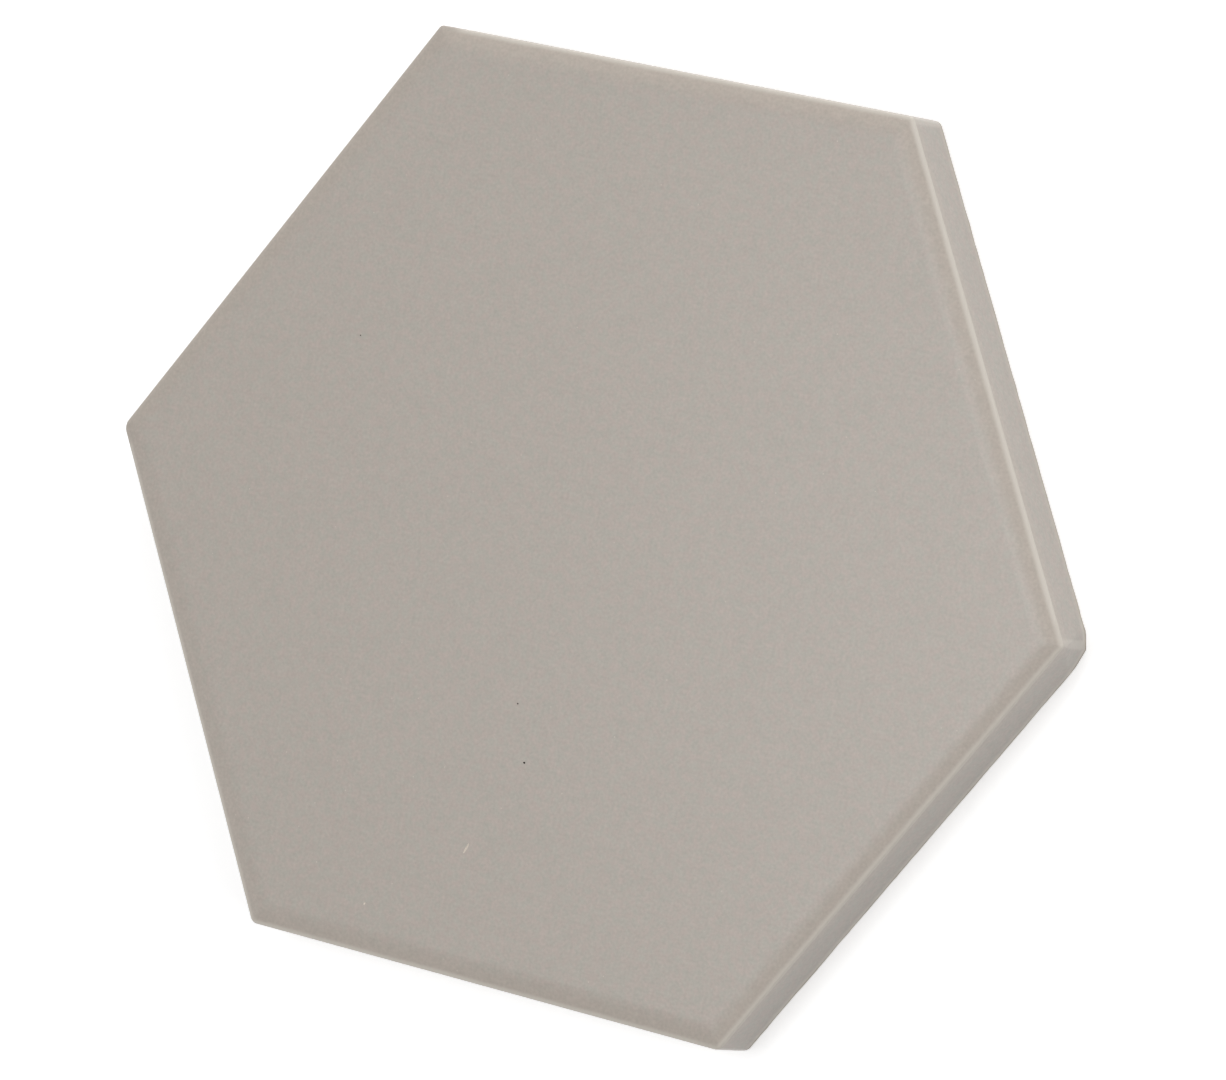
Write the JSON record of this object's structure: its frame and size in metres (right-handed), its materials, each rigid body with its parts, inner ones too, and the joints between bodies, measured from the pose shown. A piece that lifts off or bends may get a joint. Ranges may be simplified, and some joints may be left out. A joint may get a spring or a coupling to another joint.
{
  "type": "hexagon tile",
  "caption": "Flat hexagonal ceramic tile with a cushioned satin glazed face, rounded corners and a honeycomb keying relief on its back.",
  "frame": {"origin": "centre of the hexagon on the back plane", "axes": "+Z out of the glazed face, +X towards one corner, Y across two opposite sides"},
  "size_m": [0.1232, 0.107, 0.008],
  "materials": {
    "glaze": "satin warm grey glaze on face and sides, bare fired body on the back"
  },
  "bodies": {
    "root": {"tile": "glaze"}
  },
  "joints": []
}
